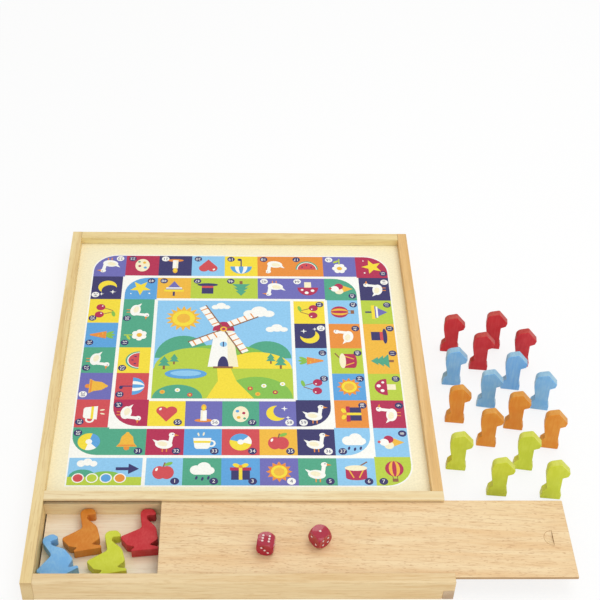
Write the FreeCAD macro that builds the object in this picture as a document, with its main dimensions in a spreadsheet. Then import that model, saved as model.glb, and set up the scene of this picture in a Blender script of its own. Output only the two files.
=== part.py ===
import FreeCAD, Part
import math
import os
import Sketcher
from FreeCAD import Placement, Rotation, Vector

# A two-sided wooden board for ludo and the game of goose, with its pieces.
# Six beech rails make a frame. A thin game panel, papered on both faces, is housed in grooves
# behind the divider rail. In front of it is a shallow tray with a lid that slides out to the right.
# Frame of the part: +X to the right, +Y to the back of the board, +Z up.
# The origin is under the middle of the divider rail, on the table. Lengths are in millimetres.

doc = FreeCAD.newDocument("game_board")

# Driving dimensions

DIMENSIONS = (
    # frame
    ("board_width", 300.0),
    ("play_length", 287.0),
    ("rail_thickness", 8.0),
    ("lip_height", 2.05),
    ("lap_height", 10.0),
    ("tenon_length", 3.0),
    ("tenon_shoulder", 1.5),
    ("glue_gap", 0.1),
    # game panel
    ("panel_thickness", 3.6),
    ("sheet_thickness", 0.2),
    ("panel_recess", 7.5),
    ("panel_groove", 3.0),
    ("panel_gap", 0.2),
    # tray and its lid
    ("floor_thickness", 2.0),
    ("floor_recess", 0.4),
    ("floor_rebate", 2.5),
    ("floor_gap", 0.2),
    ("floor_end_gap", 1.0),
    ("tray_headroom", 0.1),
    ("tray_gap", 1.4),
    ("lid_thickness", 2.5),
    ("lid_groove", 2.0),
    ("lid_gap", 0.15),
    ("lid_top_gap", 0.8),
    ("lid_side_gap", 0.3),
    ("lid_piece_gap", 0.4),
    ("nick_width", 13.0),
    ("nick_depth", 1.3),
    ("nick_inset", 12.5),
    # loose pieces
    ("goose_height", 36.5),
    ("goose_thickness", 8.0),
    ("horse_height", 39.2),
    ("horse_thickness", 6.0),
    ("pawn_chamfer", 0.45),
    ("die_size", 12.0),
    ("die_corner_trim", 2.0),
    ("pip_diameter", 1.7),
    ("pip_depth", 0.3),
    ("pip_pitch", 2.3),
    ("seat_gap", 0.1),
)

sizes = doc.addObject("Spreadsheet::Sheet", "Sizes")
for line, (alias, value) in enumerate(DIMENSIONS, start=1):
    sizes.set(f"A{line}", alias)
    sizes.set(f"B{line}", str(value))
    sizes.setAlias(f"B{line}", alias)
doc.recompute()

# Places worked out from the driving dimensions, as expressions.
# The outlines of the goose and the horse are drawn for the heights below and scaled from them.

GOOSE_DRAWN = 36.5
HORSE_DRAWN = 39.2
goose_scale = f"(Sizes.goose_height / {GOOSE_DRAWN})"
horse_scale = f"(Sizes.horse_height / {HORSE_DRAWN})"

# Two staggered rows of geese lie in the tray: this is how deep and how long they lie.
GOOSE_ROWS_DEPTH = 62.6
GOOSE_ROWS_LENGTH = 85.0

right_face = "(Sizes.board_width / 2)"
right_inside = f"({right_face} - Sizes.rail_thickness)"
left_face = f"(-{right_face})"
left_inside = f"(-{right_inside})"

divider_back = "(Sizes.rail_thickness / 2)"
divider_front = f"(-{divider_back})"
tray_front = f"({divider_front} - {GOOSE_ROWS_DEPTH} * {goose_scale} - Sizes.tray_gap)"
front_face = f"({tray_front} - Sizes.rail_thickness)"
back_inside = f"({divider_back} + Sizes.play_length)"
back_face = f"({back_inside} + Sizes.rail_thickness)"

floor_top = "(Sizes.floor_recess + Sizes.floor_thickness)"
channel_bottom = f"({floor_top} + Sizes.die_size + Sizes.tray_headroom)"
lid_bottom = f"({channel_bottom} + Sizes.lid_gap)"
lid_top = f"({lid_bottom} + Sizes.lid_thickness)"
channel_top = f"({lid_top} + Sizes.lid_top_gap)"
board_height = f"({channel_top} + Sizes.lip_height)"

goose_face = f"({board_height} - Sizes.panel_recess)"
panel_top = f"({goose_face} - Sizes.sheet_thickness)"
panel_bottom = f"({panel_top} - Sizes.panel_thickness)"
ludo_face = f"({panel_bottom} - Sizes.sheet_thickness)"

lid_closed_left = f"({left_inside} - Sizes.lid_groove + Sizes.lid_side_gap)"
lid_left = f"({left_inside} + {GOOSE_ROWS_LENGTH} * {goose_scale} + Sizes.lid_piece_gap)"
lid_right = f"({lid_left} + {right_face} - {lid_closed_left})"


def box(name, x_faces, y_faces, z_faces):
    """A block between pairs of faces, each face given by an expression."""
    block = doc.addObject("Part::Box", name)
    for axis, side, (low, high) in zip("xyz", ("Length", "Width", "Height"), (x_faces, y_faces, z_faces)):
        block.setExpression(side, f"{high} - {low}")
        block.setExpression(f"Placement.Base.{axis}", low)
    return block


def fused(name, *blocks):
    """One piece of wood drawn as several blocks."""
    piece = doc.addObject("Part::MultiFuse", name)
    piece.Shapes = list(blocks)
    piece.Refine = True
    return piece


def carved(label, blank, *cutters):
    """The blank with each cutter taken out of it."""
    piece = blank
    for cutter in cutters:
        cut = doc.addObject("Part::Cut", f"{label}_less_{cutter.Name}")
        cut.Base = piece
        cut.Tool = cutter
        piece = cut
    piece.Label = label
    return piece


# Cutters that several rails share, so that what slides or sits in them always fits.

panel_housing = box(
    "panel_housing",
    (f"({left_inside} - Sizes.panel_groove)", f"({right_inside} + Sizes.panel_groove)"),
    (f"({divider_back} - Sizes.panel_groove)", f"({back_inside} + Sizes.panel_groove)"),
    (ludo_face, f"({goose_face} + Sizes.panel_gap)"),
)
lid_channel = box(
    "lid_channel",
    (f"({left_inside} - Sizes.lid_groove)", f"({right_face} + Sizes.rail_thickness)"),
    (f"({tray_front} - Sizes.lid_groove)", f"({divider_front} + Sizes.lid_groove)"),
    (channel_bottom, channel_top),
)
floor_housing = box(
    "floor_housing",
    (left_inside, f"({right_inside} + Sizes.floor_rebate)"),
    (f"({tray_front} - Sizes.floor_rebate)", f"({divider_front} + Sizes.floor_rebate)"),
    (f"(-{floor_top})", floor_top),
)


def tenon_pair(name, x_faces, y_faces, open_x=0, open_y=0):
    """A stub tenon at the height of the panel groove, and its mortise.

    The mortise is larger by the glue gap on every side but the one where the tenon grows from its rail.
    open_x and open_y give that side: -1 for the low face, 1 for the high one.
    """
    tenon = box(f"{name}_tenon", x_faces, y_faces, (ludo_face, goose_face))
    grown = []
    for (low, high), root in ((x_faces, open_x), (y_faces, open_y)):
        low_face = low if root < 0 else f"({low} - Sizes.glue_gap)"
        high_face = high if root > 0 else f"({high} + Sizes.glue_gap)"
        grown.append((low_face, high_face))
    height = (f"({ludo_face} - Sizes.glue_gap)", f"({goose_face} + Sizes.glue_gap)")
    mortise = box(f"{name}_mortise", grown[0], grown[1], height)
    return tenon, mortise


back_tenon_y = (f"({back_inside} + Sizes.panel_groove)", f"({back_face} - Sizes.tenon_shoulder)")
back_left_tenon, back_left_mortise = tenon_pair(
    "back_left", (f"({left_inside} - Sizes.tenon_length)", left_inside), back_tenon_y, open_x=1
)
back_right_tenon, back_right_mortise = tenon_pair(
    "back_right", (right_inside, f"({right_inside} + Sizes.tenon_length)"), back_tenon_y, open_x=-1
)
side_tenon, side_mortise = tenon_pair(
    "side",
    (f"({right_inside} + Sizes.panel_groove)", f"({right_face} - Sizes.tenon_shoulder)"),
    (f"({divider_back} - Sizes.tenon_length)", divider_back),
    open_y=1,
)
front_tenon, front_mortise = tenon_pair(
    "front",
    (f"({left_inside} - Sizes.tenon_length)", left_inside),
    (f"({front_face} + Sizes.tenon_shoulder)", f"({tray_front} - Sizes.floor_rebate)"),
    open_x=1,
)
end_tenon, end_mortise = tenon_pair(
    "end",
    (f"({right_inside} + Sizes.floor_rebate)", f"({right_face} - Sizes.tenon_shoulder)"),
    (divider_front, f"({divider_front} + Sizes.tenon_length)"),
    open_y=-1,
)

# Half laps: the divider's tongue under the left rail, and the end rail's tongue under the front rail.

full_height = ("0", board_height)
lap_band = ("0", "Sizes.lap_height")
left_x = (left_face, left_inside)
right_x = (right_inside, right_face)
front_y = (front_face, tray_front)
divider_y = (divider_front, divider_back)
divider_tongue = box("divider_tongue", left_x, divider_y, lap_band)
end_tongue = box("end_tongue", right_x, front_y, lap_band)

# Rails of the frame

left_rail = carved(
    "left_rail",
    box("left_rail_blank", left_x, (front_face, back_face), full_height),
    divider_tongue,
    panel_housing,
    lid_channel,
    back_left_mortise,
    front_mortise,
)
right_rail = carved(
    "right_rail",
    fused(
        "right_rail_blank",
        box("right_rail_body", right_x, (divider_back, back_face), full_height),
        side_tenon,
    ),
    panel_housing,
    back_right_mortise,
)
back_rail = carved(
    "back_rail",
    fused(
        "back_rail_blank",
        box("back_rail_body", (left_inside, right_inside), (back_inside, back_face), full_height),
        back_left_tenon,
        back_right_tenon,
    ),
    panel_housing,
)
divider_rail = carved(
    "divider_rail",
    fused(
        "divider_rail_blank",
        box("divider_rail_body", (left_inside, right_face), divider_y, full_height),
        divider_tongue,
    ),
    panel_housing,
    lid_channel,
    floor_housing,
    side_mortise,
    end_mortise,
)
front_rail = carved(
    "front_rail",
    fused(
        "front_rail_blank",
        box("front_rail_body", (left_inside, right_face), front_y, full_height),
        front_tenon,
    ),
    lid_channel,
    floor_housing,
    end_tongue,
)
tray_end_rail = carved(
    "tray_end_rail",
    fused(
        "tray_end_rail_blank",
        box("tray_end_rail_body", right_x, (tray_front, divider_front), ("0", channel_bottom)),
        end_tongue,
        end_tenon,
    ),
    floor_housing,
)

# Game panel with a printed sheet on each face

panel_x = (
    f"({left_inside} - Sizes.panel_groove + Sizes.panel_gap)",
    f"({right_inside} + Sizes.panel_groove - Sizes.panel_gap)",
)
panel_y = (
    f"({divider_back} - Sizes.panel_groove + Sizes.panel_gap)",
    f"({back_inside} + Sizes.panel_groove - Sizes.panel_gap)",
)
game_panel = box("game_panel", panel_x, panel_y, (panel_bottom, panel_top))
goose_sheet = box("goose_sheet", panel_x, panel_y, (panel_top, goose_face))
ludo_sheet = box("ludo_sheet", panel_x, panel_y, (ludo_face, panel_bottom))

# Tray floor, glued up into the rebates from below, a little short of the left rail

tray_floor = box(
    "tray_floor",
    (
        f"({left_inside} + Sizes.floor_end_gap)",
        f"({right_inside} + Sizes.floor_rebate - Sizes.floor_gap)",
    ),
    (
        f"({tray_front} - Sizes.floor_rebate + Sizes.floor_gap)",
        f"({divider_front} + Sizes.floor_rebate - Sizes.floor_gap)",
    ),
    ("Sizes.floor_recess", floor_top),
)

# Sliding lid, drawn partly open. The thumb nick is a spherical gouge that stops at a straight wall.

lid_blank = box(
    "lid_blank",
    (lid_left, lid_right),
    (
        f"({tray_front} - Sizes.lid_groove + Sizes.lid_side_gap)",
        f"({divider_front} + Sizes.lid_groove - Sizes.lid_side_gap)",
    ),
    (lid_bottom, lid_top),
)
nick_wall = f"({lid_right} - Sizes.nick_inset)"
tray_middle = f"(({tray_front} + {divider_front}) / 2)"
nick_radius = "(Sizes.nick_width * Sizes.nick_width / (8 * Sizes.nick_depth) + Sizes.nick_depth / 2)"
nick_ball = doc.addObject("Part::Sphere", "nick_ball")
nick_ball.setExpression("Radius", nick_radius)
nick_ball.setExpression("Placement.Base.x", nick_wall)
nick_ball.setExpression("Placement.Base.y", tray_middle)
nick_ball.setExpression("Placement.Base.z", f"{lid_top} - Sizes.nick_depth + {nick_radius}")
nick_side = box(
    "nick_side",
    (f"({nick_wall} - Sizes.nick_width)", nick_wall),
    (f"({tray_middle} - Sizes.nick_width)", f"({tray_middle} + Sizes.nick_width)"),
    (lid_bottom, f"({lid_top} + Sizes.nick_depth)"),
)
thumb_nick = doc.addObject("Part::Common", "thumb_nick")
thumb_nick.Base = nick_ball
thumb_nick.Tool = nick_side
sliding_lid = carved("sliding_lid", lid_blank, thumb_nick)

# Outlines of the flat pawns, as corners: across, up, and the radius that rounds the corner.
# A corner of no radius is left as the saw made it.
# Both start at the left end of the base and go round to the left, so a turn to the right is a hollow.

GOOSE_OUTLINE = (
    (0.0, 0.0, 0.0),
    (19.6, 0.0, 0.0),
    (19.6, 2.2, 0.0),
    (13.0, 4.4, 0.0),
    (19.6, 8.6, 2.4),
    (18.7, 19.4, 7.0),
    (12.3, 27.6, 2.6),
    (13.3, 30.7, 0.0),
    (18.4, 30.2, 0.0),
    (19.5, 31.6, 0.0),
    (17.6, 36.0, 3.6),
    (7.8, 36.9, 4.6),
    (8.4, 19.8, 2.8),
    (-6.2, 13.9, 0.0),
    (-7.0, 12.2, 0.0),
    (-2.9, 5.4, 0.0),
    (2.7, 3.5, 0.0),
    (0.1, 1.3, 0.0),
)
HORSE_OUTLINE = (
    (0.0, 0.0, 0.0),
    (15.2, 0.0, 0.0),
    (15.2, 5.0, 0.0),
    (13.8, 8.2, 0.0),
    (13.2, 24.2, 0.0),
    (17.0, 26.4, 0.0),
    (17.9, 30.2, 0.0),
    (10.1, 39.4, 1.4),
    (0.7, 36.2, 5.0),
    (0.7, 25.0, 9.0),
    (3.4, 11.6, 0.0),
    (0.6, 7.8, 0.0),
)


def pawn(name, outline, plane_role, scale, thickness, side_type):
    """A pawn sawn from a board: its outline, padded by the thickness, with both faces chamfered."""
    body = doc.addObject("PartDesign::Body", name)
    plane = next(item for item in body.Origin.OriginFeatures if item.Role == plane_role)
    sketch = body.newObject("Sketcher::SketchObject", f"{name}_outline")
    sketch.AttachmentSupport = [(plane, "")]
    sketch.MapMode = "FlatFace"
    draw_outline(sketch, outline, scale)
    pad = body.newObject("PartDesign::Pad", f"{name}_pad")
    pad.Profile = sketch
    pad.SideType = side_type
    pad.setExpression("Length", thickness)
    doc.recompute()
    edge_count = len(outline) + sum(radius > 0 for across, up, radius in outline)
    sawn = [n for n, face in enumerate(pad.Shape.Faces, start=1) if len(face.Edges) == edge_count]
    chamfer = body.newObject("PartDesign::Chamfer", f"{name}_chamfer")
    chamfer.Base = (pad, [f"Face{number}" for number in sawn])
    chamfer.setExpression("Size", "Sizes.pawn_chamfer")
    return body


def draw_outline(sketch, outline, scale):
    """Straight edges between sharp or rounded corners, held by the corners' places and radii."""
    corners = [Vector(across, up, 0) for across, up, radius in outline]
    count = len(outline)
    rounds = []
    for number, (across, up, radius) in enumerate(outline):
        following = corners[(number + 1) % count]
        rounds.append(round_corner(corners[number - 1], corners[number], following, radius))
    for number in range(count):
        following = rounds[(number + 1) % count]
        sketch.addGeometry(Part.LineSegment(rounds[number]["leave"], following["enter"]), False)
    for number, (across, up, radius) in enumerate(outline):
        line_in, line_out = (number - 1) % count, number
        bend = rounds[number]
        if radius > 0:
            arc = sketch.addGeometry(Part.Arc(bend["enter"], bend["middle"], bend["leave"]), False)
            point = sketch.addGeometry(Part.Point(corners[number]), True)
            first, last = (2, 1) if bend["hollow"] else (1, 2)
            sketch.addConstraint(Sketcher.Constraint("Tangent", line_in, 2, arc, first))
            sketch.addConstraint(Sketcher.Constraint("Tangent", arc, last, line_out, 1))
            sketch.addConstraint(Sketcher.Constraint("PointOnObject", point, 1, line_in))
            sketch.addConstraint(Sketcher.Constraint("PointOnObject", point, 1, line_out))
            size = sketch.addConstraint(Sketcher.Constraint("Radius", arc, radius))
            sketch.setExpression(f"Constraints[{size}]", f"{radius} * {scale}")
        else:
            point = line_out
            sketch.addConstraint(Sketcher.Constraint("Coincident", line_in, 2, line_out, 1))
        for kind, value in (("DistanceX", across), ("DistanceY", up)):
            place = sketch.addConstraint(Sketcher.Constraint(kind, -1, 1, point, 1, value))
            sketch.setExpression(f"Constraints[{place}]", f"{value} * {scale}")


def round_corner(before, corner, after, radius):
    """Where the arc of a rounded corner starts, passes and ends, and whether the corner is a hollow."""
    back = (before - corner).normalize()
    ahead = (after - corner).normalize()
    half_angle = back.getAngle(ahead) / 2
    inward = (back + ahead).normalize()
    reach = radius / math.tan(half_angle)
    centre = corner + inward * (radius / math.sin(half_angle))
    return {
        "enter": corner + back * reach,
        "leave": corner + ahead * reach,
        "middle": centre - inward * radius,
        "hollow": back.cross(ahead).z > 0,
    }


def stand(label, model, turn, place):
    """One pawn of a kind, turned about the vertical and put in its place."""
    piece = doc.addObject("App::Link", label)
    piece.Label = label
    piece.LinkedObject = model
    piece.Placement = Placement(Vector(0, 0, 0), Rotation(Vector(0, 0, 1), turn))
    for axis, value in zip("xyz", place):
        piece.setExpression(f"Placement.Base.{axis}", value)
    return piece


goose_model = pawn("goose", GOOSE_OUTLINE, "XY_Plane", goose_scale, "Sizes.goose_thickness", "One side")
horse_model = pawn("horse", HORSE_OUTLINE, "XZ_Plane", horse_scale, "Sizes.horse_thickness", "Symmetric")

# Four geese lie flat in the tray: place of the base from the tray's front left corner, and the turn.

GEESE = (
    ("goose_blue", 13.2, 1.2, 33.0),
    ("goose_orange", 24.9, 24.9, 11.1),
    ("goose_green", 44.2, 5.3, 11.0),
    ("goose_red", 65.5, 25.6, 5.9),
)
geese = []
for label, across, deep, turn in GEESE:
    place = (
        f"{left_inside} + {across} * {goose_scale}",
        f"{tray_front} + {deep} * {goose_scale}",
        f"{floor_top} + Sizes.seat_gap",
    )
    geese.append(stand(label, goose_model, turn, place))

# Sixteen horses stand on the table to the right of the board, four of each colour, noses to the right.
# Each is placed from the board's right face and the divider: across, along, and a slight turn.

HORSES = {
    "red": ((18.5, 172.1, 6), (40.0, 151.1, 6), (54.3, 176.6, 8), (75.1, 155.5, 7)),
    "blue": ((15.5, 133.4, 5), (40.8, 109.4, 10), (63.4, 129.2, 8), (83.3, 107.5, 10)),
    "orange": ((13.3, 92.3, 6), (35.1, 68.0, 8), (59.2, 85.9, 9), (84.0, 66.6, 9)),
    "green": ((8.4, 44.0, 6), (36.2, 18.8, 5), (60.1, 44.8, 9), (76.6, 16.4, 6)),
}
horses = []
for colour, herd in HORSES.items():
    for number, (across, along, turn) in enumerate(herd, start=1):
        place = (f"{right_face} + {across} * {horse_scale}", f"{along} * {horse_scale}", "0")
        horses.append(stand(f"horse_{colour}_{number}", horse_model, -turn, place))

# Dice: a cube tumbled to a ball at its corners, so its faces are round, with a sunk pip for each point.
# Pips are given in steps of the pip pitch from the middle of the face, and opposite faces add to seven.

PIPS = {
    "one": ((0, 0),),
    "two": ((-1, -1), (1, 1)),
    "three": ((-1, 1), (0, 0), (1, -1)),
    "four": ((-1, -1), (-1, 1), (1, -1), (1, 1)),
    "five": ((-1, -1), (-1, 1), (0, 0), (1, -1), (1, 1)),
    "six": ((-1, -1), (-1, 0), (-1, 1), (1, -1), (1, 0), (1, 1)),
}
FACE_TURNS = {
    "top": Rotation(Vector(1, 0, 0), 0),
    "bottom": Rotation(Vector(1, 0, 0), 180),
    "front": Rotation(Vector(1, 0, 0), 90),
    "back": Rotation(Vector(1, 0, 0), -90),
    "right": Rotation(Vector(0, 1, 0), 90),
    "left": Rotation(Vector(0, 1, 0), -90),
}


def die(label, points, across, along, turn):
    """A die on the lid: across from the lid's left end, along from the middle of the tray."""
    cube = box(f"{label}_cube", *[("(-Sizes.die_size / 2)", "(Sizes.die_size / 2)")] * 3)
    ball = doc.addObject("Part::Sphere", f"{label}_ball")
    ball.setExpression("Radius", "Sizes.die_size / 2 * sqrt(3) - Sizes.die_corner_trim")
    rounded = doc.addObject("Part::Common", f"{label}_rounded")
    rounded.Base = cube
    rounded.Tool = ball
    pips = []
    for face, count in points.items():
        outward = FACE_TURNS[face].multVec(Vector(0, 0, 1))
        for column, row in PIPS[count]:
            pip = doc.addObject("Part::Prism", f"{label}_{face}_pip")
            pip.Polygon = 6
            pip.setExpression("Circumradius", "Sizes.pip_diameter / 2")
            pip.setExpression("Height", "2 * Sizes.pip_depth")
            pip.Placement = Placement(Vector(0, 0, 0), FACE_TURNS[face])
            steps = FACE_TURNS[face].multVec(Vector(column, row, 0))
            for axis, step, out in zip("xyz", steps, outward):
                sunk = f"{out:.0f} * (Sizes.die_size / 2 - Sizes.pip_depth)"
                pip.setExpression(f"Placement.Base.{axis}", f"{step:.0f} * Sizes.pip_pitch + {sunk}")
            pips.append(pip)
    drill = doc.addObject("Part::Compound", f"{label}_drill")
    drill.Links = pips
    piece = carved(label, rounded, drill)
    piece.Placement = Placement(Vector(0, 0, 0), Rotation(Vector(0, 0, 1), turn))
    piece.setExpression("Placement.Base.x", f"{lid_left} + {across}")
    piece.setExpression("Placement.Base.y", f"{tray_middle} + {along}")
    piece.setExpression("Placement.Base.z", f"{lid_top} + Sizes.seat_gap + Sizes.die_size / 2")
    return piece


SIX_UP = {
    "top": "six",
    "bottom": "one",
    "front": "three",
    "back": "four",
    "right": "five",
    "left": "two",
}
ONE_UP = {
    "top": "one",
    "bottom": "six",
    "front": "four",
    "back": "three",
    "right": "five",
    "left": "two",
}
dice = [
    die("die_1", SIX_UP, 75.4, -9.5, -10),
    die("die_2", ONE_UP, 113.7, -3.2, 40),
]

# Check every object, then write one file for each piece

doc.recompute()
pieces = [
    left_rail,
    right_rail,
    back_rail,
    divider_rail,
    front_rail,
    tray_end_rail,
    game_panel,
    goose_sheet,
    ludo_sheet,
    tray_floor,
    sliding_lid,
    *geese,
    *horses,
    *dice,
]
for item in doc.Objects:
    if "Invalid" in item.State or "Error" in item.State:
        raise RuntimeError(f"{item.Label} failed: {item.State}")
for piece in pieces:
    shape = Part.getShape(piece)
    if shape.isNull() or not shape.isValid() or len(shape.Solids) != 1:
        raise RuntimeError(f"{piece.Label} is not one valid solid")

os.makedirs("parts", exist_ok=True)
for piece in pieces:
    shape = Part.getShape(piece)
    shape.exportStep(f"parts/{piece.Label}.step")
    limits = shape.BoundBox
    print(f"{piece.Label}: {limits.XLength:.1f} x {limits.YLength:.1f} x {limits.ZLength:.1f} mm")
lid_limits = sliding_lid.Shape.BoundBox
print(f"the lid stands open by {lid_limits.XMax - sizes.board_width / 2:.2f} mm")
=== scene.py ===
# %% [markdown]
# # A wooden board for ludo and the game of goose
# The board is a shallow frame of beech rails. A papered panel sits in grooves behind the divider rail,
# with the goose track on its upper face and the ludo cross underneath. In front of the divider is a
# tray with a sliding lid. Flat wooden geese and horses, and two dice, go with it.
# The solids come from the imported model, so every size here is already fixed. This script gives them
# eased edges, wood, paint and print.

# %% Load the fixed frame
import math

import bmesh
import bpy
from mathutils import Matrix, Vector


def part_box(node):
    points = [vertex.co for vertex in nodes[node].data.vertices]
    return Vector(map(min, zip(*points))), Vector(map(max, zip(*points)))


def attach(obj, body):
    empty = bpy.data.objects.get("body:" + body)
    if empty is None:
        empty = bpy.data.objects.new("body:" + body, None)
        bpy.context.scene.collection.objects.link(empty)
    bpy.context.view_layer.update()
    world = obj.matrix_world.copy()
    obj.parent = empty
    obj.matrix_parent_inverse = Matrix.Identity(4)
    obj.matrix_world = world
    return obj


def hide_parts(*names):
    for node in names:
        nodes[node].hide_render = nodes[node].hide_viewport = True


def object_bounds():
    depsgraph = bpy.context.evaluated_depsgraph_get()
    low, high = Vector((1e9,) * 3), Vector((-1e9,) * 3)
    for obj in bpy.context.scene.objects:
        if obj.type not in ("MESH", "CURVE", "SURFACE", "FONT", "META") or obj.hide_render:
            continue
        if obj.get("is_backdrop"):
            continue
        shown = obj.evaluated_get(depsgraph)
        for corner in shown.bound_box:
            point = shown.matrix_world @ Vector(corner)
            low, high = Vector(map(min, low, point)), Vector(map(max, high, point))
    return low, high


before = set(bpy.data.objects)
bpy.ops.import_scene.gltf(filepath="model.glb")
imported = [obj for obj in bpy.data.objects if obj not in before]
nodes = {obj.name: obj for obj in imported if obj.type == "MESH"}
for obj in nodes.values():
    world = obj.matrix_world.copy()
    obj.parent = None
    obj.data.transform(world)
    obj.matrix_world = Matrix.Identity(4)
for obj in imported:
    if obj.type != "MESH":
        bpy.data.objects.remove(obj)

MM = 0.001
cad_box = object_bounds()
print("loaded", len(nodes), "pieces; box in mm:", [[round(v / MM, 1) for v in corner] for corner in cad_box])

# %% [markdown]
# ## The camera
# The photograph looks down on the board from in front, a little from the right of its middle and
# turned by a degree or two. The numbers were fitted to the corners of the frame. A small shift to the
# side takes the place of cropping, because the board isn't in the middle of the picture. A tracking
# constraint could aim the camera, but it would lose the roll, so the three angles are written in degrees.

# %% Camera
CAMERA_PLACE = (-0.00189, -0.58523, 0.75589)
CAMERA_YAW, CAMERA_DOWN, CAMERA_ROLL = -2.28, 42.76, 1.86
FOCAL_LENGTH, SIDE_SHIFT = 76.36, 0.0417
lens = bpy.data.cameras.new("camera")
lens.sensor_width = 36
lens.lens = FOCAL_LENGTH
lens.shift_x = SIDE_SHIFT
lens.clip_start = 0.05
camera = bpy.data.objects.new("camera", lens)
bpy.context.collection.objects.link(camera)
camera.matrix_world = (
    Matrix.Translation(CAMERA_PLACE)
    @ Matrix.Rotation(math.radians(CAMERA_YAW), 4, "Z")
    @ Matrix.Rotation(math.radians(90 - CAMERA_DOWN), 4, "X")
    @ Matrix.Rotation(math.radians(CAMERA_ROLL), 4, "Z")
)
bpy.context.scene.camera = camera
print("camera at", [round(v, 3) for v in camera.matrix_world.translation])

# %% [markdown]
# ## Colours and nodes
# Colours are written as sRGB hex values, the way a paint chart or a picture editor gives them. Blender's
# sockets take linear values, so one function converts them. Another adds a shader node, sets its
# properties or sockets, and links other nodes into it. Two more serve nearly every material here: one
# shares out two tones by a pattern, and one lets that pattern raise the surface a little and make it
# more and less glossy. In real wood, paint or paper all of that has one cause, so one pattern does it.

# %% Helpers for materials


def hue(code):
    """An sRGB hex colour as the linear colour that a shader socket takes."""
    parts = [int(code[i : i + 2], 16) / 255 for i in (1, 3, 5)]
    return [p / 12.92 if p <= 0.04045 else ((p + 0.055) / 1.055) ** 2.4 for p in parts] + [1.0]


def add(tree, kind, settings=None, links=None):
    """Adds a node. Settings are sockets or properties; links go from an output into a socket."""
    node = tree.nodes.new(kind)
    for key, value in (settings or {}).items():
        if isinstance(key, int) or key in node.inputs:
            node.inputs[key].default_value = value
        else:
            setattr(node, key, value)
    for key, output in (links or {}).items():
        tree.links.new(output, node.inputs[key])
    return node


def new_material(name, sockets):
    """A node material whose Principled shader has these plain values on its sockets."""
    material = bpy.data.materials.new(name)
    material.use_nodes = True
    shader = material.node_tree.nodes["Principled BSDF"]
    for key, value in sockets.items():
        shader.inputs[key].default_value = value
    return material, material.node_tree, shader


def two_tones(tree, shader, pattern, low, high, first, second):
    """Colours a surface with the first tone where a pattern is low and the second where it is high."""
    share = add(tree, "ShaderNodeMapRange", {"From Min": low, "From Max": high}, {"Value": pattern})
    tones = {"data_type": "RGBA", 6: first, 7: second}
    mix = add(tree, "ShaderNodeMix", tones, {0: share.outputs[0]})
    tree.links.new(mix.outputs[2], shader.inputs["Base Color"])


def surface(tree, shader, noise, strength, depth, gloss=None):
    """Lets a noise pattern bump the surface, by a depth in millimetres, and vary its roughness."""
    relief = add(
        tree,
        "ShaderNodeBump",
        {"Strength": strength, "Distance": depth * MM},
        {"Height": noise.outputs["Fac"]},
    )
    tree.links.new(relief.outputs[0], shader.inputs["Normal"])
    if gloss:
        limits = {"From Min": 0.3, "From Max": 0.7, "To Min": gloss[0], "To Max": gloss[1]}
        rough = add(tree, "ShaderNodeMapRange", limits, {"Value": noise.outputs["Fac"]})
        tree.links.new(rough.outputs[0], shader.inputs["Roughness"])


print("helpers ready")

# %% [markdown]
# ## Studio
# The photograph has a plain white ground, and soft light from above and from the right. A sun lamp
# would draw hard shadows, so a wide lamp hangs over the board, to the right of its middle, a second one
# lights its front, and a white world fills the shadows. Sides that face right are bright, and left ones
# are shaded. For the camera the world is plain white, and so is most of the floor's colour, so that
# only a soft shadow is left on it. The floor is seen from above only: from below it is clear, so the
# ludo side can be looked at too.

# %% Floor


def seen_directly(tree):
    """One for what the camera sees, also in a mirror or through glass, and zero for light on the board."""
    rays = add(tree, "ShaderNodeLightPath").outputs
    seen = rays["Is Camera Ray"]
    for kind in ("Is Glossy Ray", "Is Transmission Ray"):
        seen = add(tree, "ShaderNodeMath", {"operation": "MAXIMUM"}, {0: seen, 1: rays[kind]}).outputs[0]
    return seen


FLOOR_DROP = 0.3 * MM
WHITE_SHARE = 0.8
bm = bmesh.new()
bmesh.ops.create_grid(bm, x_segments=1, y_segments=1, size=5)
bmesh.ops.translate(bm, verts=bm.verts, vec=(0, 0, -FLOOR_DROP))
mesh = bpy.data.meshes.new("floor")
bm.to_mesh(mesh)
bm.free()
floor = bpy.data.objects.new("floor", mesh)
bpy.context.collection.objects.link(floor)
floor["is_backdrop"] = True
# Matt coated paper: it mirrors nothing, so all that the eye finds on it is the board's soft shadow.
matt = {"Base Color": hue("#FBFBFA"), "Roughness": 0.9, "Specular IOR Level": 0.1}
material, tree, shader = new_material("white_studio_paper", matt)
glow = add(tree, "ShaderNodeEmission", {"Color": (1, 1, 1, 1), "Strength": 1.0})
share = add(tree, "ShaderNodeMapRange", {"To Max": WHITE_SHARE}, {"Value": seen_directly(tree)})
layers = {0: share.outputs[0], 1: shader.outputs[0], 2: glow.outputs[0]}
paper = add(tree, "ShaderNodeMixShader", {}, layers)
side = add(tree, "ShaderNodeNewGeometry").outputs["Backfacing"]
clear = add(tree, "ShaderNodeBsdfTransparent")
paper = add(tree, "ShaderNodeMixShader", {}, {0: side, 1: paper.outputs[0], 2: clear.outputs[0]})
tree.links.new(paper.outputs[0], tree.nodes["Material Output"].inputs["Surface"])
mesh.materials.append(material)
print("floor laid")

# %% World and lamps
LAMP_AIM = Vector((0.05, 0.1, 0))
world = bpy.data.worlds.new("studio")
bpy.context.scene.world = world
world.use_nodes = True
tree = world.node_tree
tree.nodes.clear()
fill = add(tree, "ShaderNodeBackground", {"Color": (1, 1, 1, 1), "Strength": 0.64})
white = add(tree, "ShaderNodeBackground", {"Color": (1, 1, 1, 1), "Strength": 1.0})
seen = seen_directly(tree)
mixed = add(tree, "ShaderNodeMixShader", {}, {0: seen, 1: fill.outputs[0], 2: white.outputs[0]})
add(tree, "ShaderNodeOutputWorld", {}, {0: mixed.outputs[0]})

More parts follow.
